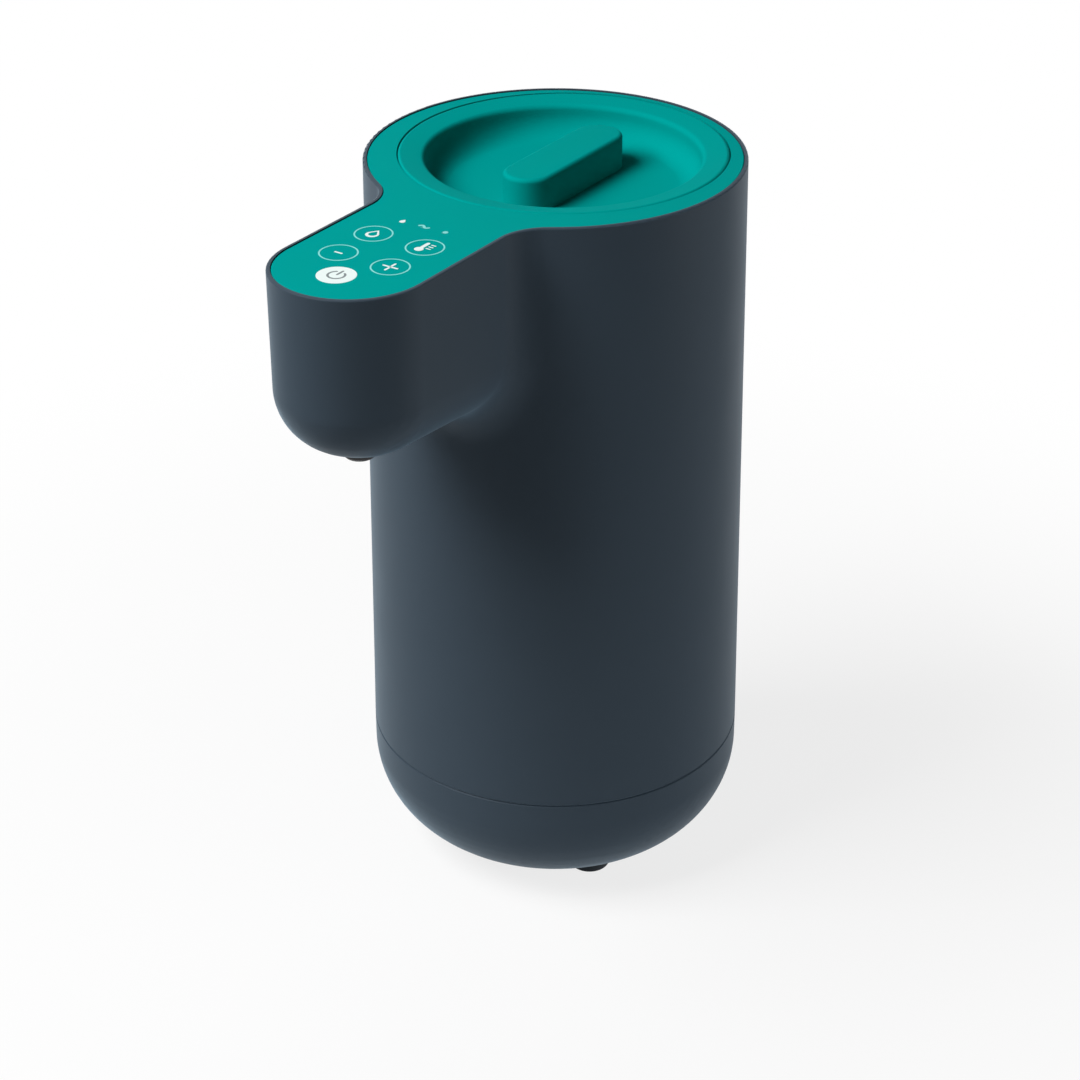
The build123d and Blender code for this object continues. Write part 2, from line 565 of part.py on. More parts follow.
def water_tank():
    wall_radius = TANK_RADIUS + TANK_WALL
    outer = tube(wall_radius, 0, TANK_UNDERSIDE_Z, TANK_RIM_Z)
    outer = fillet(outer.edges().group_by(Axis.Z)[0], TANK_ROUND + TANK_WALL)
    inner = tube(TANK_RADIUS, 0, TANK_FLOOR_Z, TANK_RIM_Z)
    inner = fillet(inner.edges().group_by(Axis.Z)[0], TANK_ROUND)
    tank = outer + tube(TANK_FLANGE_RADIUS, 0, TANK_RIM_Z - TANK_WALL, TANK_RIM_Z) - inner
    tank += tube(OUTLET_RADIUS, 0, TANK_UNDERSIDE_Z - OUTLET_LENGTH, TANK_UNDERSIDE_Z)
    tank -= tube(OUTLET_BORE, 0, TANK_UNDERSIDE_Z - OUTLET_LENGTH, TANK_FLOOR_Z)
    return LID_AXIS * tank


def tank_seal():
    return LID_AXIS * tube(TANK_FLANGE_RADIUS, TANK_RADIUS + SEAL_INSET, TANK_RIM_Z, NECK_BOTTOM_Z)


def heater_plate():
    return LID_AXIS * tube(HEATER_PLATE_RADIUS, HEATER_PLATE_HOLE, HEATER_PLATE_Z, TANK_UNDERSIDE_Z)


def terminal_places():
    """Under both ends of the ring element, at the rear."""
    end_angle = math.radians(90 - (360 - HEATER_RING_ANGLE) / 2 - math.degrees(
        HEATER_RING_WIDTH / 2 / HEATER_RING_RADIUS))
    x = HEATER_RING_RADIUS * math.cos(end_angle)
    y = LID_OFFSET + HEATER_RING_RADIUS * math.sin(end_angle)
    return [(x, y), (-x, y)]


def heater_element():
    inner = HEATER_RING_RADIUS - HEATER_RING_WIDTH / 2
    outer = HEATER_RING_RADIUS + HEATER_RING_WIDTH / 2
    ring = LID_AXIS * sector(inner, outer, HEATER_RING_Z, HEATER_PLATE_Z, -90, HEATER_RING_ANGLE)
    for x, y in terminal_places():
        ring += Pos(x, y, 0) * tube(TERMINAL_RADIUS, 0, HEATER_RING_Z - TERMINAL_LENGTH, HEATER_RING_Z)
    return ring


def heat_cutout():
    switch = tube(CUTOUT_RADIUS, 0, HEATER_PLATE_Z - CUTOUT_HEIGHT, HEATER_PLATE_Z)
    return LID_AXIS * Pos(CUTOUT_PLACE, 0, 0) * switch


def heat_sensor():
    sensor = tube(SENSOR_RADIUS, 0, HEATER_PLATE_Z - SENSOR_HEIGHT, HEATER_PLATE_Z)
    return LID_AXIS * Pos(-CUTOUT_PLACE, 0, 0) * sensor


def hook_ring(outer_gap, depth, bottom, top):
    """Blocks of one depth at the places of the snap hooks, inside the inner wall of the shell by a gap."""
    wall_x = HEAD_HALF_WIDTH - WALL - outer_gap
    wall_radius = TOP_RADIUS - WALL - outer_gap
    pieces = []
    for row in HOOK_ROWS:
        y_span = (-row - HOOK_WIDTH / 2, HOOK_WIDTH / 2 - row)
        pieces.append(block((wall_x - depth, wall_x), y_span, (bottom, top)))
        pieces.append(block((-wall_x, depth - wall_x), y_span, (bottom, top)))
    width_angle = math.degrees(HOOK_WIDTH / wall_radius)
    for angle in (HOOK_ANGLE - 90, -HOOK_ANGLE - 90):
        pieces.append(sector(wall_radius - depth, wall_radius, bottom, top, angle, width_angle))
    return pieces


def top_deck():
    plate = extrude(Pos(0, 0, DECK_TOP_Z) * deck_outline(RIM_WIDTH + DECK_GAP), -DECK_THICKNESS)
    plate = fillet(plate.faces().sort_by(Axis.Z)[-1].edges(), DECK_ROUND)
    deck = plate + LID_AXIS * tube(NECK_OUTER, 0, NECK_BOTTOM_Z, DECK_UNDERSIDE_Z)
    mouth = tube(NECK_BORE, 0, SHELF_TOP_Z, DECK_TOP_Z)
    mouth += tube(SHELF_RADIUS, 0, SHELF_BOTTOM_Z, SHELF_TOP_Z)
    channel = LUG_RADIUS + LUG_GAP
    mouth += tube(channel, 0, NECK_BOTTOM_Z, SHELF_BOTTOM_Z)
    for i in range(LUG_COUNT):
        angle = LUG_START_ANGLE + 360 * i / LUG_COUNT
        mouth += sector(SHELF_RADIUS - OVERRUN, channel, SHELF_BOTTOM_Z, SHELF_TOP_Z, angle, LUG_SLOT_ANGLE)
    deck -= LID_AXIS * mouth
    for x, y in light_places():
        deck -= Pos(x, y, 0) * tube(LIGHT_RADIUS + LIGHT_GAP, 0, DECK_UNDERSIDE_Z, DECK_TOP_Z)
    for x, y in board_post_places():
        post = tube(BOARD_POST_RADIUS, 0, TOUCH_BOARD_TOP_Z, DECK_UNDERSIDE_Z)
        post -= tube(BOARD_SCREW_RADIUS + THREAD_GAP, 0, TOUCH_BOARD_TOP_Z, DECK_UNDERSIDE_Z)
        deck += Pos(x, y, 0) * post
    shaft_gap = CATCH_DEPTH + HOOK_GAP
    hook_z = DECK_UNDERSIDE_Z - HOOK_LENGTH
    nose_top_z = DECK_UNDERSIDE_Z - CATCH_DROP - CATCH_HEIGHT - HOOK_GAP
    for shaft in hook_ring(shaft_gap, HOOK_THICKNESS, hook_z, DECK_UNDERSIDE_Z):
        deck += shaft
    for nose in hook_ring(shaft_gap - HOOK_NOSE, HOOK_NOSE, hook_z, nose_top_z):
        deck += nose
    return deck


def light_places():
    return [(x, -LIGHT_ROW) for x in (-LIGHT_SPREAD, 0, LIGHT_SPREAD)]


def key_places():
    power, lower, upper = KEY_ROWS
    pairs = [(x, -row) for row in (lower, upper) for x in (-KEY_SPREAD, KEY_SPREAD)]
    return [(0, -power)] + pairs


def board_post_places():
    return [(x, -row) for row in BOARD_POST_ROWS for x in (-BOARD_POST_X, BOARD_POST_X)]


def light_guides():
    guide = tube(LIGHT_RADIUS, 0, TOUCH_BOARD_TOP_Z + LED_HEIGHT, DECK_TOP_Z)
    return [Pos(x, y, 0) * guide for x, y in light_places()]


def indicator_leds():
    side = (-LED_HALF_SIDE, LED_HALF_SIDE)
    led = block(side, side, (TOUCH_BOARD_TOP_Z, TOUCH_BOARD_TOP_Z + LED_HEIGHT))
    return [Pos(x, y, 0) * led for x, y in light_places()]


def touch_pads():
    pad = tube(PAD_RADIUS, 0, TOUCH_BOARD_TOP_Z, DECK_UNDERSIDE_Z)
    return [Pos(x, y, 0) * pad for x, y in key_places()]


def touch_board():
    length = HEAD_CENTRE - TOUCH_BOARD_REAR
    outline = Pos(0, -TOUCH_BOARD_REAR - length / 2) * Rectangle(2 * TOUCH_BOARD_HALF_WIDTH, length)
    outline += Pos(0, -HEAD_CENTRE) * Circle(TOUCH_BOARD_HALF_WIDTH)
    for x, y in board_post_places():
        outline -= Pos(x, y) * Circle(BOARD_SCREW_RADIUS + THREAD_GAP)
    return extrude(Pos(0, 0, TOUCH_BOARD_Z) * outline, BOARD_THICKNESS)


def board_screws():
    screw = tube(BOARD_SCREW_HEAD_RADIUS, 0, TOUCH_BOARD_Z - BOARD_SCREW_HEAD_HEIGHT, TOUCH_BOARD_Z)
    screw += tube(BOARD_SCREW_RADIUS, 0, TOUCH_BOARD_Z, TOUCH_BOARD_Z + BOARD_SCREW_LENGTH)
    return [Pos(x, y, 0) * screw for x, y in board_post_places()]


def bar_form(inset, bottom, top):
    """The grip bar: a slot outline along the spout, drawn in by a wall where it is hollow."""
    outline = Rot(0, 0, 90) * SlotOverall(BAR_LENGTH - 2 * inset, BAR_WIDTH - 2 * inset)
    return extrude(Pos(0, 0, bottom) * outline, top - bottom)


def lid_cap():
    cap = tube(LID_RADIUS, 0, DECK_TOP_Z - LID_FLANGE, DECK_TOP_Z)
    cap = fillet(cap.edges().group_by(Axis.Z)[-1], LID_EDGE_ROUND)
    cup = tube(BOWL_RADIUS + LID_WALL, 0, LID_UNDERSIDE_Z, DECK_TOP_Z - LID_FLANGE)
    cup = fillet(cup.edges().group_by(Axis.Z)[0], BOWL_ROUND + LID_WALL)
    dish_z = DECK_TOP_Z - LID_DISH
    bowl = tube(BOWL_RADIUS, 0, BOWL_FLOOR_Z, dish_z)
    bowl = fillet(bowl.edges().group_by(Axis.Z)[0], BOWL_ROUND)
    bowl += Pos(0, 0, dish_z) * Cone(BOWL_RADIUS, LID_RADIUS - LID_CREST, LID_DISH, align=STAND)
    bowl_edge = bowl.edges().filter_by(GeomType.CIRCLE).group_by(Axis.Z)[-2]
    cap = cap + cup - fillet(bowl_edge, BOWL_EDGE_ROUND)
    bar = bar_form(0, BOWL_FLOOR_Z, BAR_TOP_Z)
    cap += fillet(bar.faces().sort_by(Axis.Z)[-1].edges(), BAR_ROUND)
    hollow = bar_form(LID_WALL, LID_UNDERSIDE_Z, BAR_TOP_Z - LID_WALL)
    for place in (-BAR_RIB_PLACE, BAR_RIB_PLACE):
        rib_y = (place - BAR_RIB_THICKNESS / 2, place + BAR_RIB_THICKNESS / 2)
        hollow -= block((-BAR_WIDTH, BAR_WIDTH), rib_y, (LID_UNDERSIDE_Z, BAR_TOP_Z))
    cap -= hollow
    for i in range(LUG_COUNT):
        angle = LUG_START_ANGLE + 360 * i / LUG_COUNT
        cap += sector(BOWL_RADIUS, LUG_RADIUS, LUG_TOP_Z - LUG_THICKNESS, LUG_TOP_Z, angle, LUG_ANGLE)
    cap += tube(POST_RADIUS, 0, POST_END_Z, BAR_TOP_Z - LID_WALL)
    cap -= tube(LINER_SCREW_RADIUS + THREAD_GAP, 0, POST_END_Z, POST_END_Z + LINER_SCREW_LENGTH)
    return LID_AXIS * cap


def lid_liner():
    liner = tube(LINER_RADIUS, 0, LINER_STEP_Z, LINER_TOP_Z)
    liner += tube(LINER_BOSS_RADIUS, 0, LINER_BOTTOM_Z, LINER_STEP_Z)
    return LID_AXIS * (liner - tube(POST_RADIUS + POST_PLAY, 0, LINER_BOTTOM_Z, LINER_TOP_Z))


def lid_gasket():
    outer = TANK_RADIUS - GASKET_GAP
    inner = LINER_BOSS_RADIUS + GASKET_FIT
    ring = tube(outer, inner, LINER_STEP_Z - GASKET_THICKNESS, LINER_STEP_Z)
    return LID_AXIS * ring


def liner_screw():
    screw = tube(LINER_SCREW_HEAD_RADIUS, 0, POST_END_Z - LINER_SCREW_HEAD_HEIGHT, POST_END_Z)
    screw += tube(LINER_SCREW_RADIUS, 0, POST_END_Z, POST_END_Z + LINER_SCREW_LENGTH)
    return LID_AXIS * screw


def pump_mount():
    mount = tube(PUMP_MOUNT_RADIUS, 0, PUMP_SEAT_Z, PUMP_SEAT_Z + PUMP_MOUNT_HEIGHT)
    return LID_AXIS * (mount - tube(PUMP_MOUNT_BORE, 0, MOTOR_Z, PUMP_SEAT_Z + PUMP_MOUNT_HEIGHT))


def pump_motor():
    motor = tube(MOTOR_RADIUS, 0, MOTOR_Z, PUMP_Z)
    motor = fillet(motor.edges().group_by(Axis.Z)[-1], MOTOR_ROUND)
    return LID_AXIS * (motor - tube(SHAFT_RADIUS + SHAFT_PLAY, 0, PUMP_Z - SHAFT_DEPTH, PUMP_Z))


def outlet_pipe(radius):
    """Outlet of the pump, tangent to its chamber and pointing to the front."""
    length = PUMP_OUTLET_END
    along = Plane(origin=(PUMP_OUTLET_X, 0, PUMP_OUTLET_Z), z_dir=(0, -1, 0))
    return along * Cylinder(radius, length, align=STAND)


def pump_housing():
    chamber = PUMP_RADIUS - PUMP_WALL
    housing = tube(PUMP_RADIUS, 0, PUMP_Z, COVER_Z) + outlet_pipe(HOSE_BORE - HOSE_FIT)
    housing -= tube(chamber, 0, CHAMBER_Z, COVER_Z)
    housing -= tube(SHAFT_RADIUS + SHAFT_PLAY, 0, PUMP_Z, CHAMBER_Z)
    return LID_AXIS * (housing - outlet_pipe(SPIGOT_BORE))


def pump_cover():
    cover = tube(PUMP_RADIUS, 0, COVER_Z, PUMP_TOP_Z)
    cover += tube(OUTLET_RADIUS, 0, PUMP_TOP_Z, PUMP_TOP_Z + PUMP_SPIGOT_LENGTH)
    return LID_AXIS * (cover - tube(OUTLET_BORE, 0, COVER_Z, PUMP_TOP_Z + PUMP_SPIGOT_LENGTH))


def pump_impeller():
    disc_z = CHAMBER_Z + IMPELLER_LIFT
    disc_top_z = disc_z + IMPELLER_DISC
    wheel = tube(IMPELLER_RADIUS, 0, disc_z, disc_top_z)
    wheel += tube(HUB_RADIUS, 0, disc_top_z, disc_top_z + VANE_HEIGHT)
    tip_angle = math.radians(VANE_SWEEP)
    tip_reach = IMPELLER_RADIUS - VANE_THICKNESS
    tip = (tip_reach * math.cos(tip_angle), tip_reach * math.sin(tip_angle))
    outline = trace(TangentArc((0, 0), tip, tangent=(1, 0)), VANE_THICKNESS)
    vane = extrude(Pos(0, 0, disc_top_z) * outline, VANE_HEIGHT)
    for turn in around(VANE_COUNT):
        wheel += turn * vane
    return LID_AXIS * (wheel - tube(SHAFT_RADIUS + HUB_GAP, 0, disc_z, disc_top_z + VANE_HEIGHT))


def pump_shaft():
    top_z = CHAMBER_Z + IMPELLER_LIFT + IMPELLER_DISC + VANE_HEIGHT
    return LID_AXIS * tube(SHAFT_RADIUS, 0, PUMP_Z - SHAFT_DEPTH, top_z)


def inlet_hose():
    top_z = TANK_UNDERSIDE_Z - HEATER_PLATE_THICKNESS
    return LID_AXIS * tube(INLET_HOSE_RADIUS, OUTLET_RADIUS + HOSE_FIT, PUMP_TOP_Z, top_z)


def riser_hose():
    start_y = LID_OFFSET - math.sqrt(PUMP_RADIUS ** 2 - PUMP_OUTLET_X ** 2) - HOSE_START
    end_z = NOZZLE_SEAT_Z + NOZZLE_FLANGE
    level_z = end_z + RISER_RISE
    points = [
        (PUMP_OUTLET_X, start_y, PUMP_OUTLET_Z),
        (PUMP_OUTLET_X, -RISER_PLACE, PUMP_OUTLET_Z),
        (0, -RISER_PLACE, TANK_UNDERSIDE_Z + RISER_TURN_HEIGHT),
        (0, -RISER_PLACE, level_z),
        (0, -HEAD_CENTRE, level_z),
        (0, -HEAD_CENTRE, end_z),
    ]
    bends = (RISER_LOWER_BEND, RISER_MIDDLE_BEND, RISER_UPPER_BEND, RISER_SPOUT_BEND)
    return pipe(points, bends, HOSE_RADIUS, HOSE_BORE)


def spout_nozzle():
    tip_z = TOP_Z - HEAD_HEIGHT - NOZZLE_TIP
    flange_top_z = NOZZLE_SEAT_Z + NOZZLE_FLANGE
    nozzle = tube(NOZZLE_RADIUS, 0, tip_z, NOZZLE_SEAT_Z)
    nozzle = chamfer(nozzle.edges().group_by(Axis.Z)[0], NOZZLE_CHAMFER)
    nozzle += tube(NOZZLE_FLANGE_RADIUS, 0, NOZZLE_SEAT_Z, flange_top_z)
    barb_top_z = flange_top_z + NOZZLE_BARB_LENGTH
    nozzle += tube(HOSE_BORE - HOSE_FIT, 0, flange_top_z, barb_top_z)
    nozzle -= tube(SPIGOT_BORE, 0, tip_z, barb_top_z)
    nozzle -= tube(NOZZLE_BORE, 0, tip_z, NOZZLE_SEAT_Z)
    return Pos(0, -HEAD_CENTRE, 0) * nozzle


def power_board():
    x_span = (-POWER_BOARD_HALF_WIDTH, POWER_BOARD_HALF_WIDTH)
    y_span = (POWER_BOARD_PLACE, POWER_BOARD_PLACE + BOARD_THICKNESS)
    return block(x_span, y_span, (POWER_BOARD_Z, POWER_BOARD_TOP_Z))


def board_component(size, x):
    """A boxy component on the front face of the power board."""
    width, depth, height = size
    y_span = (POWER_BOARD_PLACE - depth, POWER_BOARD_PLACE)
    z_span = (COMPONENT_Z - height / 2, COMPONENT_Z + height / 2)
    return block((x - width / 2, x + width / 2), y_span, z_span)


def transformer():
    return board_component(TRANSFORMER_SIZE, TRANSFORMER_X)


def relay():
    return board_component(RELAY_SIZE, RELAY_X)


def filter_capacitor():
    along = Plane(origin=(CAPACITOR_X, POWER_BOARD_PLACE, COMPONENT_Z), z_dir=(0, -1, 0))
    return along * Cylinder(CAPACITOR_RADIUS, CAPACITOR_LENGTH, align=STAND)


def socket_outline(half_width, half_height):
    """Two round ends joined by straight sides, as on a small two-pin inlet."""
    return SlotOverall(2 * half_width, 2 * half_height)


def inlet_body(grow, rear):
    """Outer form of the inlet, from its inner end to the given rear face."""
    plane = Plane(origin=(0, INLET_END_Y, INLET_Z), x_dir=(1, 0, 0), z_dir=(0, 1, 0))
    outline = socket_outline(INLET_HALF_WIDTH + grow, INLET_HALF_HEIGHT + grow)
    return extrude(plane * outline, rear - INLET_END_Y)


def pin_set(radius, inner_y, outer_y):
    along = Plane(origin=(0, inner_y, INLET_Z), z_dir=(0, 1, 0))
    pin = along * Cylinder(radius, outer_y - inner_y, align=STAND)
    return [Pos(x, 0, 0) * pin for x in (-PIN_SPREAD, PIN_SPREAD)]


def power_inlet():
    inlet = inlet_body(0, INLET_FACE_Y)
    floor_y = INLET_FACE_Y - SOCKET_DEPTH
    plane = Plane(origin=(0, floor_y, INLET_Z), x_dir=(1, 0, 0), z_dir=(0, 1, 0))
    inlet -= extrude(plane * socket_outline(SOCKET_HALF_WIDTH, SOCKET_HALF_HEIGHT), SOCKET_DEPTH)
    for hole in pin_set(PIN_RADIUS + PIN_FIT, INLET_END_Y, floor_y):
        inlet -= hole
    return inlet


def inlet_pins():
    floor_y = INLET_FACE_Y - SOCKET_DEPTH
    return pin_set(PIN_RADIUS, POWER_BOARD_PLACE + BOARD_THICKNESS, floor_y + PIN_LENGTH)


def heater_leads():
    board_y = POWER_BOARD_PLACE + BOARD_THICKNESS / 2
    leads = []
    for x, y in terminal_places():
        points = [
            (x, board_y, POWER_BOARD_TOP_Z),
            (x, board_y, CHASSIS_Z),
            (x, y, CHASSIS_TOP_Z),
            (x, y, HEATER_RING_Z - TERMINAL_LENGTH),
        ]
        leads.append(pipe(points, (LEAD_BEND, LEAD_BEND), LEAD_RADIUS))
    return leads


def pump_leads():
    reach = math.sqrt(MOTOR_RADIUS ** 2 - (PUMP_LEAD_X - LEAD_RADIUS) ** 2)
    front_y = LID_OFFSET + reach + PUMP_LEAD_GAP
    along = Plane(origin=(0, front_y, BASE_Z + PUMP_LEAD_HEIGHT), z_dir=(0, 1, 0))
    lead = along * Cylinder(LEAD_RADIUS, POWER_BOARD_PLACE - front_y, align=STAND)
    return [Pos(x, 0, 0) * lead for x in (-PUMP_LEAD_X, PUMP_LEAD_X)]


def touch_cable():
    level_z = BASE_Z + CABLE_HEIGHT
    top_z = TOP_Z - CABLE_TOP_DROP
    board_y = POWER_BOARD_PLACE + BOARD_THICKNESS / 2
    side_x, side_y = [SEAM_RADIUS * place_share for place_share in CABLE_SIDE_SHARES]
    front_x, front_y = [SEAM_RADIUS * place_share for place_share in CABLE_FRONT_SHARES]
    points = [
        (-RAIL_X, board_y, POWER_BOARD_TOP_Z),
        (-RAIL_X, board_y, level_z),
        (-side_x, side_y, level_z),
        (-front_x, -front_y, level_z),
        (-CABLE_X, -RISER_PLACE, level_z),
        (-CABLE_X, -RISER_PLACE, top_z),
        (-CABLE_X, -TOUCH_BOARD_REAR - CABLE_END, top_z),
        (-CABLE_X, -TOUCH_BOARD_REAR - CABLE_END, TOUCH_BOARD_Z),
    ]
    return pipe(points, CABLE_BENDS, CABLE_RADIUS)


NODES = [
    body_shell, base_cover, base_screws, chassis, top_deck, water_tank, tank_seal,
    heater_plate, heater_element, heat_cutout, heat_sensor, pump_mount, pump_motor, pump_housing,
    pump_cover, pump_impeller, pump_shaft, inlet_hose, riser_hose, spout_nozzle, touch_board,
    touch_pads, board_screws, indicator_leds, light_guides, power_board, transformer, relay,
    filter_capacitor, power_inlet, inlet_pins, heater_leads, pump_leads, touch_cable, lid_cap,
    lid_liner, lid_gasket, liner_screw,
]
FOOT_NAMES = ("foot_rear_right", "foot_front_right", "foot_rear_left", "foot_front_left")


def save(name, piece):
    """Write one node, shifted from the body axis to the middle of the product."""
    solids = piece if isinstance(piece, list) else [piece]
    placed = [Pos(0, AXIS_Y, 0) * solid for solid in solids]
    export_step(Compound(children=placed) if len(placed) > 1 else placed[0], f"parts/{name}.step")


os.makedirs("parts", exist_ok=True)
for make in NODES:
    save(make.__name__, make())
for name, foot in zip(FOOT_NAMES, foot_set()):
    save(name, foot)
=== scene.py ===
import json
import math

import bmesh
import bpy
from mathutils import Matrix, Vector


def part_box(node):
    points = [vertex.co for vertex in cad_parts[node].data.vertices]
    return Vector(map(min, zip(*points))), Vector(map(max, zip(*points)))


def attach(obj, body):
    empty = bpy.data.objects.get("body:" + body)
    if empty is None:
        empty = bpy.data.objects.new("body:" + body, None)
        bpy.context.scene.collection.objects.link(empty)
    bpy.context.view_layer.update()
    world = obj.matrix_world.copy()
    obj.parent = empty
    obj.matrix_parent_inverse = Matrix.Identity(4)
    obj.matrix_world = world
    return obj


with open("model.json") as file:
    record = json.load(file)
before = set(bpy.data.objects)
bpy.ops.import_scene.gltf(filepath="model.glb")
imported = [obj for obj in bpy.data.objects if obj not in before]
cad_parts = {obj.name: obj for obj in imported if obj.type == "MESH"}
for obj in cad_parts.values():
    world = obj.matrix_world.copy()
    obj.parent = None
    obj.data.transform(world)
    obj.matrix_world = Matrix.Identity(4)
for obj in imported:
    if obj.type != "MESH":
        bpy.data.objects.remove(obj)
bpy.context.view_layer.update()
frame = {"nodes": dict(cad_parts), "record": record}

NODES = frame["nodes"]
MM = 0.001

# Places taken from the frame
BASE_LOW, BASE_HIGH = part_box("base_cover")
AXIS_Y = (BASE_LOW[1] + BASE_HIGH[1]) / 2
TOP_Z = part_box("body_shell")[1][2]
DECK_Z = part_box("top_deck")[1][2]

# Camera, fitted to the photograph
CAMERA_AZIMUTH = 33.926
CAMERA_ELEVATION = 29.573
CAMERA_ROLL = -0.167
CAMERA_DISTANCE = 950.1 * MM
CAMERA_AIM_RIGHT = -5.6 * MM
CAMERA_AIM_DROP = 149.8 * MM
CAMERA_LENS = 86.6
CAMERA_SENSOR = 36.0

# Printed keys, in front of the body axis
POWER_ROW = 120.5 * MM
STEP_ROW = 106.5 * MM
MODE_ROW = 88.5 * MM
LIGHT_ROW = 75.2 * MM
KEY_SPREAD = 10.0 * MM
LIGHT_SPREAD = 8.3 * MM
KEY_RADIUS = 6.3 * MM
LINE_WIDTH = 0.5 * MM
ICON_WIDTH = 0.75 * MM
PRINT_THICKNESS = 0.02 * MM
RING_STEPS = 96
DOT_STEPS = 32
CAP_STEPS = 8

# Icons in the keys. Pen lines are given in millimetres from the key's centre
POWER_BOW_RADIUS = 2.7 * MM
POWER_BOW_START, POWER_BOW_END = 125, 415
POWER_BOW_STEPS = 40
POWER_STEM_LOW, POWER_STEM_HIGH = 0.4, 3.4
MINUS_REACH = 1.2
PLUS_REACH = 2.6
DROP_WIDTH, DROP_HEIGHT = 4.4 * MM, 5.9 * MM
DROP_HOLE_WIDTH, DROP_HOLE_HEIGHT = 2.8 * MM, 3.9 * MM
DROP_HOLE_RISE = 0.1 * MM
STEM_X = -0.9
STEM_LOW, STEM_HIGH = -1.2, 3.0
STEM_WIDTH = 1.3 * MM
BULB_Y = -2.0
BULB_RADIUS = 1.5 * MM
TICK_START, TICK_END = 0.8, 2.2
TICK_ROWS = (2.6, 1.1, -0.4)
TICK_WIDTH = 0.5 * MM

# Marks over the lights
DROP_MARK_WIDTH, DROP_MARK_HEIGHT = 1.9 * MM, 2.7 * MM
DOT_MARK_RADIUS = 0.9 * MM
WAVE_LENGTH = 3.6 * MM
WAVE_RISE = 0.65 * MM
WAVE_WIDTH = 0.9 * MM
WAVE_STEPS = 24

# Shading of the shells
WELD_DISTANCE = 0.001 * MM
CORNER_ANGLE = 25

# Light, in metres and watts: a soft key over the left front, and low lamps for the right side and the back
KEY_PLACE, KEY_AIM = (-0.48, -0.70, 1.2), (0, 0.04, 0.25)
KEY_SIZE, KEY_POWER = (0.75, 0.75), 21.5
SIDE_PLACE, SIDE_AIM = (0.82, 0.38, 0.14), (0, 0.03, 0.14)
SIDE_SIZE, SIDE_POWER = (0.5, 0.24), 2.6
BACK_PLACE, BACK_AIM = (-0.52, 0.78, 0.13), (0, 0.04, 0.14)
BACK_SIZE, BACK_POWER = (0.6, 0.24), 2.6
FILL_STRENGTH = 0.02

# Floor and background
WHITE = (1, 1, 1, 1)
FLOOR_COLOUR = (0.94, 0.94, 0.94, 1)
FLOOR_ROUGHNESS = 0.9
FLOOR_SPECULAR = 0.1
FLOOR_GLOW_SHARE = 0.8
FLOOR_RADIUS = 0.5
FLOOR_CORNERS = 128
FLOOR_FADE_START = 0.15

# Sockets of the colour mix node
MIX_SHARE, MIX_FIRST, MIX_SECOND = 0, 6, 7
MIX_COLOUR = 2

# Grain and cloud of all surfaces
CLOUD_DETAIL, CLOUD_ROUGHNESS = 3.0, 0.55
GRAIN_DETAIL, GRAIN_ROUGHNESS = 2.0, 0.5
GRAIN_DEPTH = 0.05 * MM
ROUGHNESS_SPREAD = 0.04

# Sheen of the soft-touch housing
SHEEN_ROUGHNESS = 0.35
SHEEN_TINT = (0.5, 0.78, 1, 1)


def srgb(red, green, blue):
    """Linear colour from display values out of 255."""
    def linear(value):
        share = value / 255
        return share / 12.92 if share <= 0.04045 else ((share + 0.055) / 1.055) ** 2.4
    return (linear(red), linear(green), linear(blue), 1)


def new_material(name):
    material = bpy.data.materials.new(name)
    material.use_nodes = True
    shader = material.node_tree.nodes["Principled BSDF"]
    return material, material.node_tree, shader


def add(tree, kind, **values):
    """New node, with its inputs or settings set by name."""
    node = tree.nodes.new(kind)
    for key, value in values.items():
        if key in node.inputs:
            node.inputs[key].default_value = value
        else:
            setattr(node, key, value)
    return node


def surface(
        name, colour, shade, roughness, specular,
        metallic=0.0, grain=0.2, bump=0.03, cloud=25.0, tint=WHITE, sheen=0.0):
    """Moulded or cast surface: clouded colour, fine grain (size in millimetres) in bump and roughness."""
    material, tree, shader = new_material(name)
    shader.inputs["Metallic"].default_value = metallic
    shader.inputs["Specular IOR Level"].default_value = specular
    shader.inputs["Specular Tint"].default_value = tint
    shader.inputs["Sheen Weight"].default_value = sheen
    shader.inputs["Sheen Roughness"].default_value = SHEEN_ROUGHNESS
    shader.inputs["Sheen Tint"].default_value = SHEEN_TINT
    coords = add(tree, "ShaderNodeTexCoord")
    clouds = add(tree, "ShaderNodeTexNoise", Scale=cloud, Detail=CLOUD_DETAIL, Roughness=CLOUD_ROUGHNESS)
    fine = add(
        tree, "ShaderNodeTexNoise", Scale=1 / (grain * MM), Detail=GRAIN_DETAIL, Roughness=GRAIN_ROUGHNESS)
    mix = add(tree, "ShaderNodeMix", data_type="RGBA")
    mix.inputs[MIX_FIRST].default_value = colour
    mix.inputs[MIX_SECOND].default_value = shade
    rough = add(tree, "ShaderNodeMapRange")
    rough.inputs["To Min"].default_value = roughness - ROUGHNESS_SPREAD
    rough.inputs["To Max"].default_value = roughness + ROUGHNESS_SPREAD
    relief = add(tree, "ShaderNodeBump", Strength=bump, Distance=GRAIN_DEPTH)
    link = tree.links.new
    link(coords.outputs["Object"], clouds.inputs["Vector"])
    link(coords.outputs["Object"], fine.inputs["Vector"])
    link(clouds.outputs["Fac"], mix.inputs[MIX_SHARE])
    link(mix.outputs[MIX_COLOUR], shader.inputs["Base Color"])
    link(fine.outputs["Fac"], rough.inputs["Value"])
    link(rough.outputs["Result"], shader.inputs["Roughness"])
    link(fine.outputs["Fac"], relief.inputs["Height"])
    link(relief.outputs["Normal"], shader.inputs["Normal"])
    return material


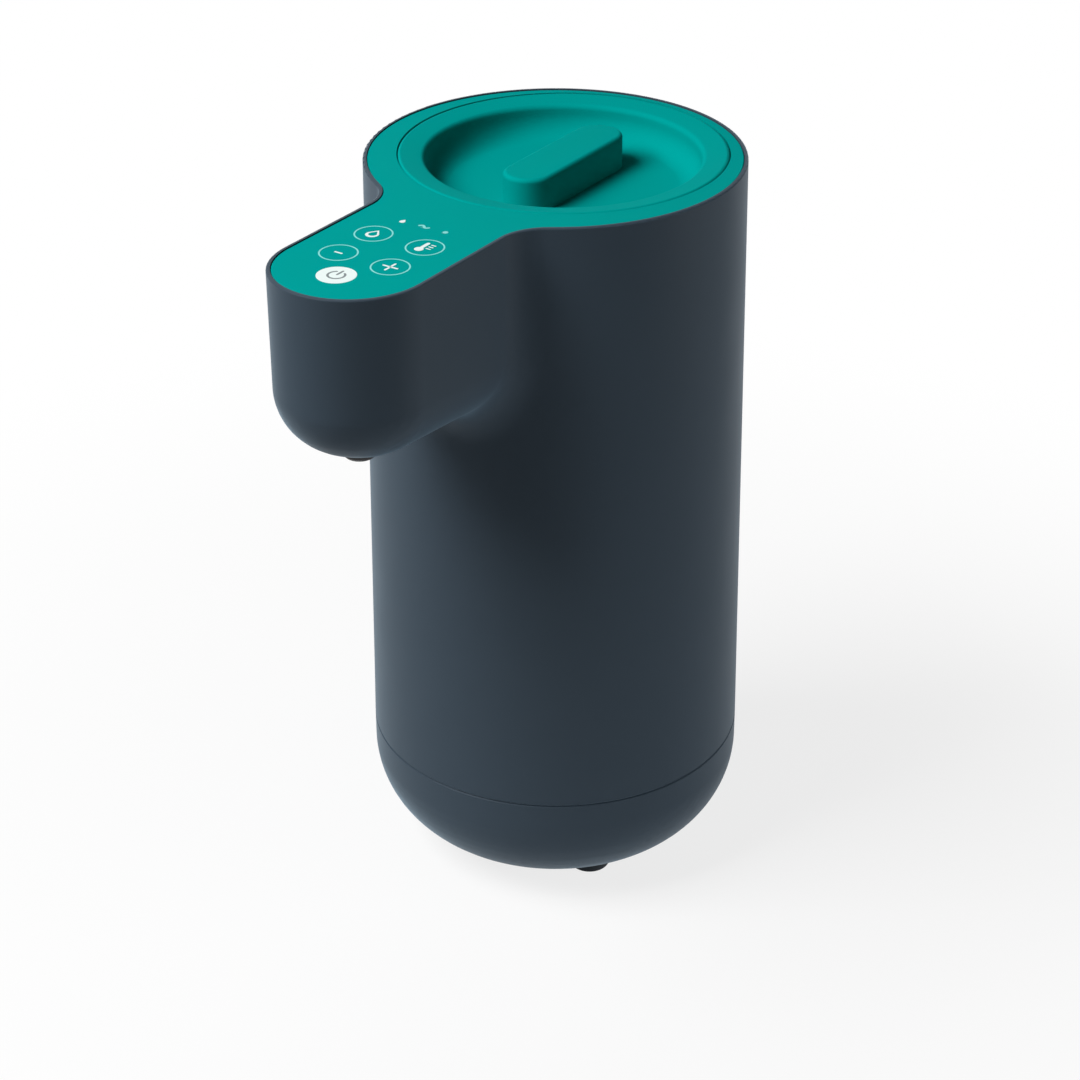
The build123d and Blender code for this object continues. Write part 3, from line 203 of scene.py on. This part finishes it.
MATERIALS = {
    "housing_plastic": surface(
        "housing_plastic", srgb(59, 71, 82), srgb(62, 74, 85), 0.42, 0.05, bump=0.06, sheen=0.3),
    "teal_plastic": surface(
        "teal_plastic", srgb(0, 154, 149), srgb(0, 157, 152), 0.6, 0.01,
        bump=0.05, tint=(0, 1, 0.97, 1)),
    "tank_steel": surface(
        "tank_steel", srgb(190, 190, 188), srgb(205, 205, 204), 0.28, 0.5, metallic=1.0, grain=0.6),
    "heater_aluminium": surface(
        "heater_aluminium", srgb(180, 181, 184), srgb(200, 200, 202), 0.42, 0.5, metallic=1.0, grain=0.8),
    "inner_plastic": surface("inner_plastic", srgb(222, 222, 218), srgb(230, 230, 226), 0.45, 0.4),
    "silicone": surface("silicone", srgb(214, 214, 208), srgb(226, 226, 220), 0.4, 0.4),
    "rubber": surface("rubber", srgb(36, 43, 49), srgb(43, 50, 56), 0.75, 0.3, grain=0.4, bump=0.15),
    "fastener_steel": surface(
        "fastener_steel", srgb(165, 168, 172), srgb(185, 187, 190), 0.35, 0.5, metallic=1.0, grain=0.3),
    "circuit_board": surface("circuit_board", srgb(18, 84, 48), srgb(26, 104, 60), 0.4, 0.45, cloud=120.0),
    "black_plastic": surface("black_plastic", srgb(22, 22, 24), srgb(28, 28, 30), 0.5, 0.4, bump=0.1),
    "capacitor_sleeve": surface("capacitor_sleeve", srgb(30, 40, 86), srgb(36, 48, 100), 0.3, 0.5),
    "sensor_brass": surface(
        "sensor_brass", srgb(196, 160, 88), srgb(212, 178, 104), 0.32, 0.5, metallic=1.0, grain=0.4),
    "touch_foam": surface("touch_foam", srgb(50, 50, 53), srgb(64, 64, 67), 0.85, 0.2, grain=0.6, bump=0.3),
    "light_guide": surface("light_guide", srgb(0, 150, 146), srgb(8, 158, 153), 0.3, 0.1),
    "wire_jacket": surface("wire_jacket", srgb(188, 184, 178), srgb(200, 196, 190), 0.5, 0.4),
}
# The tip of the spout is given black plastic in place of its inner plastic slot, unlike the other inner
# plastic
NODE_SWAPS = {"spout_nozzle": "black_plastic"}
PRINT_WHITE = surface("print_white", srgb(232, 246, 243), srgb(240, 250, 248), 0.55, 0.1, grain=0.3)
PRINT_LINE = surface("print_line", srgb(128, 218, 213), srgb(142, 224, 219), 0.55, 0.1, grain=0.3)
PRINT_GREY = surface("print_grey", srgb(118, 128, 130), srgb(128, 138, 140), 0.55, 0.3, grain=0.3)


def dress_nodes():
    """Give every CAD node the material of its slot, or the material swapped in for it."""
    for row in frame["record"]["subparts"]:
        slots = NODES[row["node"]].data.materials
        slots.clear()
        slots.append(MATERIALS[NODE_SWAPS.get(row["node"], row["material_slot"])])


def even_shading(names):
    """Join the seams of the moulded shells, so that light runs over them without a step."""
    for name in names:
        stack = NODES[name].modifiers
        weld = stack.new("joined_seams", "WELD")
        weld.merge_threshold = WELD_DISTANCE
        corners = stack.new("crisp_corners", "EDGE_SPLIT")
        corners.split_angle = math.radians(CORNER_ANGLE)
        corners.use_edge_sharp = False
        even = stack.new("even_normals", "WEIGHTED_NORMAL")
        even.mode = "FACE_AREA"
        even.keep_sharp = False


def arc(centre, radius, start, end, steps):
    """Points on a circle from one angle to another, in degrees from +X."""
    angles = [math.radians(start + (end - start) * i / steps) for i in range(steps + 1)]
    return [centre + radius * Vector((math.cos(a), math.sin(a))) for a in angles]


def circle(centre, radius, steps):
    """Closed outline of a round dot."""
    return arc(centre, radius, 0, 360, steps)[:-1]


def stroke(points, width):
    """Outline of a pen line with round ends."""
    half = width / 2
    left, right = [], []
    for i, point in enumerate(points):
        before = points[max(i - 1, 0)]
        after = points[min(i + 1, len(points) - 1)]
        along = (after - before).normalized()
        side = Vector((-along.y, along.x)) * half
        left.append(point + side)
        right.append(point - side)
    first = math.degrees(math.atan2(*(left[0] - points[0]).yx))
    last = math.degrees(math.atan2(*(right[-1] - points[-1]).yx))
    start_cap = arc(points[0], half, first, first + 180, CAP_STEPS)[1:-1]
    end_cap = arc(points[-1], half, last, last + 180, CAP_STEPS)[1:-1]
    return right + end_cap + left[::-1] + start_cap


def drop_outline(centre, width, height):
    """Water drop: a round foot and two sides that meet in a point."""
    radius = width / 2
    foot = centre - Vector((0, height / 2 - radius))
    tip = centre + Vector((0, height / 2))
    lean = math.degrees(math.acos(radius / (tip - foot).length))
    return [tip] + arc(foot, radius, 90 + lean, 450 - lean, DOT_STEPS)


def print_shape(name, outlines, material, level=1):
    """Thin ink film on the deck, from flat outlines. Each has an outer line and maybe a hole."""
    mesh = bmesh.new()
    base = DECK_Z + PRINT_THICKNESS * (level - 1)
    for outer, hole in outlines:
        top = [mesh.verts.new((p.x, p.y, base + PRINT_THICKNESS)) for p in outer]
        low = [mesh.verts.new((p.x, p.y, base)) for p in outer]
        count = len(outer)
        sides = [(top, low)]
        if hole:
            inner_top = [mesh.verts.new((p.x, p.y, base + PRINT_THICKNESS)) for p in hole]
            inner_low = [mesh.verts.new((p.x, p.y, base)) for p in hole]
            for i in range(count):
                j = (i + 1) % count
                mesh.faces.new((top[i], top[j], inner_top[j], inner_top[i]))
                mesh.faces.new((low[j], low[i], inner_low[i], inner_low[j]))
            sides.append((inner_low, inner_top))
        else:
            mesh.faces.new(top)
            mesh.faces.new(low[::-1])
        for upper, lower in sides:
            for i in range(count):
                j = (i + 1) % count
                mesh.faces.new((upper[j], upper[i], lower[i], lower[j]))
    data = bpy.data.meshes.new(name)
    mesh.to_mesh(data)
    mesh.free()
    data.materials.append(material)
    piece = bpy.data.objects.new(name, data)
    bpy.context.scene.collection.objects.link(piece)
    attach(piece, "housing")


def key_centre(x, row):
    return Vector((x, AXIS_Y - row))


def key_ring(name, centre):
    outer = circle(centre, KEY_RADIUS, RING_STEPS)
    inner = circle(centre, KEY_RADIUS - LINE_WIDTH, RING_STEPS)
    print_shape(name, [(outer, inner)], PRINT_LINE)


def line(centre, start, end, width=ICON_WIDTH):
    """Straight pen line, given in millimetres from a centre."""
    points = [centre + Vector(start) * MM, centre + Vector(end) * MM]
    return (stroke(points, width), None)


def power_key():
    centre = key_centre(0, POWER_ROW)
    print_shape("power_disc", [(circle(centre, KEY_RADIUS, RING_STEPS), None)], PRINT_WHITE)
    bow_line = arc(centre, POWER_BOW_RADIUS, POWER_BOW_START, POWER_BOW_END, POWER_BOW_STEPS)
    bow = (stroke(bow_line, ICON_WIDTH), None)
    stem = line(centre, (0, POWER_STEM_LOW), (0, POWER_STEM_HIGH))
    print_shape("power_icon", [bow, stem], PRINT_GREY, level=2)


def step_keys():
    minus = key_centre(-KEY_SPREAD, STEP_ROW)
    plus = key_centre(KEY_SPREAD, STEP_ROW)
    key_ring("minus_ring", minus)
    key_ring("plus_ring", plus)
    print_shape("minus_icon", [line(minus, (-MINUS_REACH, 0), (MINUS_REACH, 0))], PRINT_WHITE)
    bar_edge = ICON_WIDTH / 2 / MM
    level = line(plus, (-PLUS_REACH, 0), (PLUS_REACH, 0))
    upper = line(plus, (0, bar_edge), (0, PLUS_REACH))
    lower = line(plus, (0, -bar_edge), (0, -PLUS_REACH))
    print_shape("plus_icon", [level, upper, lower], PRINT_WHITE)


def mode_keys():
    water = key_centre(-KEY_SPREAD, MODE_ROW)
    warmth = key_centre(KEY_SPREAD, MODE_ROW)
    key_ring("water_ring", water)
    key_ring("warmth_ring", warmth)
    outer = drop_outline(water, DROP_WIDTH, DROP_HEIGHT)
    hole_centre = water + Vector((0, DROP_HOLE_RISE))
    inner = drop_outline(hole_centre, DROP_HOLE_WIDTH, DROP_HOLE_HEIGHT)
    print_shape("water_icon", [(outer, inner)], PRINT_WHITE)
    bulb = warmth + Vector((STEM_X, BULB_Y)) * MM
    stem = line(warmth, (STEM_X, STEM_LOW), (STEM_X, STEM_HIGH), STEM_WIDTH)
    ticks = [line(warmth, (TICK_START, y), (TICK_END, y), TICK_WIDTH) for y in TICK_ROWS]
    dot = (circle(bulb, BULB_RADIUS, DOT_STEPS), None)
    print_shape("warmth_icon", [stem, *ticks], PRINT_WHITE)
    print_shape("warmth_bulb", [dot], PRINT_WHITE, level=2)


def light_marks():
    """Marks over the three lights: a drop, a warm wave and a dot."""
    drop, wave, dot = (key_centre(x, LIGHT_ROW) for x in (-LIGHT_SPREAD, 0, LIGHT_SPREAD))
    outline = drop_outline(drop, DROP_MARK_WIDTH, DROP_MARK_HEIGHT)
    print_shape("drop_mark", [(outline, None)], PRINT_WHITE)
    shares = [i / WAVE_STEPS for i in range(WAVE_STEPS + 1)]
    bends = [Vector((WAVE_LENGTH * (s - 0.5), WAVE_RISE * math.sin(2 * math.pi * s))) for s in shares]
    print_shape("wave_mark", [(stroke([wave + b for b in bends], WAVE_WIDTH), None)], PRINT_LINE)
    print_shape("dot_mark", [(circle(dot, DOT_MARK_RADIUS, DOT_STEPS), None)], PRINT_LINE)


def seen(tree):
    """One for rays that show the background: straight from the camera, mirrored or through glass."""
    path = add(tree, "ShaderNodeLightPath")
    either = add(tree, "ShaderNodeMath", operation="MAXIMUM")
    both = add(tree, "ShaderNodeMath", operation="MAXIMUM")
    link = tree.links.new
    link(path.outputs["Is Camera Ray"], either.inputs[0])
    link(path.outputs["Is Glossy Ray"], either.inputs[1])
    link(either.outputs[0], both.inputs[0])
    link(path.outputs["Is Transmission Ray"], both.inputs[1])
    return both.outputs[0]


def stage():
    """Round white paper floor that keeps the object's soft shadow and fades into the background."""
    bpy.ops.mesh.primitive_circle_add(
        vertices=FLOOR_CORNERS, radius=FLOOR_RADIUS, fill_type="NGON", location=(0, 0, 0))
    floor = bpy.context.object
    floor.name = "floor"
    material, tree, shader = new_material("floor_paper")
    shader.inputs["Base Color"].default_value = FLOOR_COLOUR
    shader.inputs["Roughness"].default_value = FLOOR_ROUGHNESS
    shader.inputs["Specular IOR Level"].default_value = FLOOR_SPECULAR
    white = add(tree, "ShaderNodeEmission", Strength=1.0)
    mix = add(tree, "ShaderNodeMixShader")
    link = tree.links.new
    coords = add(tree, "ShaderNodeTexCoord")
    distance = add(tree, "ShaderNodeVectorMath", operation="LENGTH")
    fade = add(tree, "ShaderNodeMapRange", interpolation_type="SMOOTHSTEP")
    fade.inputs["From Min"].default_value = FLOOR_FADE_START
    fade.inputs["From Max"].default_value = FLOOR_RADIUS
    fade.inputs["To Min"].default_value = FLOOR_GLOW_SHARE
    fade.inputs["To Max"].default_value = 1.0
    glow = add(tree, "ShaderNodeMath", operation="MULTIPLY")
    link(coords.outputs["Object"], distance.inputs[0])
    link(distance.outputs["Value"], fade.inputs["Value"])
    link(fade.outputs["Result"], glow.inputs[0])
    link(seen(tree), glow.inputs[1])
    link(glow.outputs[0], mix.inputs[0])
    link(shader.outputs[0], mix.inputs[1])
    link(white.outputs[0], mix.inputs[2])
    link(mix.outputs[0], tree.nodes["Material Output"].inputs["Surface"])
    floor.data.materials.append(material)


def area_light(name, place, aim, size, power):
    data = bpy.data.lights.new(name, "AREA")
    data.shape = "RECTANGLE"
    data.size, data.size_y = size
    data.energy = power
    lamp = bpy.data.objects.new(name, data)
    lamp.location = place
    lamp.rotation_euler = (Vector(aim) - Vector(place)).to_track_quat("-Z", "Y").to_euler()
    bpy.context.scene.collection.objects.link(lamp)


def lights():
    world = bpy.data.worlds.new("studio")
    bpy.context.scene.world = world
    world.use_nodes = True
    tree = world.node_tree
    fill = tree.nodes["Background"]
    fill.inputs["Color"].default_value = WHITE
    fill.inputs["Strength"].default_value = FILL_STRENGTH
    white = add(tree, "ShaderNodeBackground", Color=WHITE, Strength=1.0)
    mix = add(tree, "ShaderNodeMixShader")
    link = tree.links.new
    link(seen(tree), mix.inputs[0])
    link(fill.outputs[0], mix.inputs[1])
    link(white.outputs[0], mix.inputs[2])
    link(mix.outputs[0], tree.nodes["World Output"].inputs["Surface"])
    area_light("key", KEY_PLACE, KEY_AIM, KEY_SIZE, KEY_POWER)
    area_light("side", SIDE_PLACE, SIDE_AIM, SIDE_SIZE, SIDE_POWER)
    area_light("back", BACK_PLACE, BACK_AIM, BACK_SIZE, BACK_POWER)


def camera():
    azimuth = math.radians(CAMERA_AZIMUTH)
    elevation = math.radians(CAMERA_ELEVATION)
    back = Vector((
        math.sin(azimuth) * math.cos(elevation),
        -math.cos(azimuth) * math.cos(elevation),
        math.sin(elevation)))
    right = Vector((math.cos(azimuth), math.sin(azimuth), 0))
    up = back.cross(right)
    roll = math.radians(CAMERA_ROLL)
    across = math.cos(roll) * right + math.sin(roll) * up
    above = math.cos(roll) * up - math.sin(roll) * right
    aim = Vector((0, AXIS_Y, TOP_Z - CAMERA_AIM_DROP)) + right * CAMERA_AIM_RIGHT
    data = bpy.data.cameras.new("camera")
    data.lens = CAMERA_LENS
    data.sensor_width = CAMERA_SENSOR
    rig = bpy.data.objects.new("camera", data)
    turn = Matrix((across, above, back)).transposed().to_4x4()
    rig.matrix_world = Matrix.Translation(aim + back * CAMERA_DISTANCE) @ turn
    bpy.context.scene.collection.objects.link(rig)
    bpy.context.scene.camera = rig


dress_nodes()
even_shading(("body_shell", "base_cover", "top_deck", "lid_cap"))
power_key()
step_keys()
mode_keys()
light_marks()
stage()
lights()
camera()
bpy.context.scene.view_settings.view_transform = "Standard"
